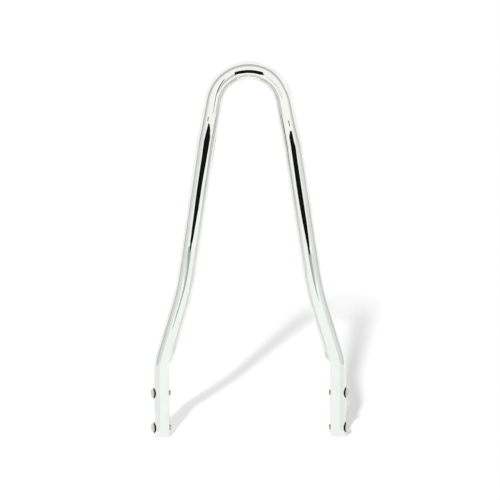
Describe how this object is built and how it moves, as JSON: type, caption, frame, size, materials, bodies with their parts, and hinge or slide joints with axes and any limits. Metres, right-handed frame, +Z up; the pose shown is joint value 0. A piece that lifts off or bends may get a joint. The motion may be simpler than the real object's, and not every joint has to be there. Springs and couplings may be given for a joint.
{
  "type": "sissy bar",
  "caption": "Tall chrome hoop of bent round bar for the rear of a motorcycle seat, with flat-milled feet that bolt to the fender struts by button-head screws.",
  "frame": {"origin": "midway between the two feet, on the plane of their ends", "axes": "+Z up the hoop from the feet to the arch, +X across the hoop towards the right foot, +Y away from the viewer of the picture"},
  "size_m": [0.242, 0.0222, 0.4599],
  "materials": {
    "bar_chrome": "mirror-polished chrome plate on steel",
    "screw_chrome": "bright chrome plate on steel"
  },
  "bodies": {
    "root": {"hoop": "bar_chrome", "screws": "screw_chrome"}
  },
  "joints": []
}
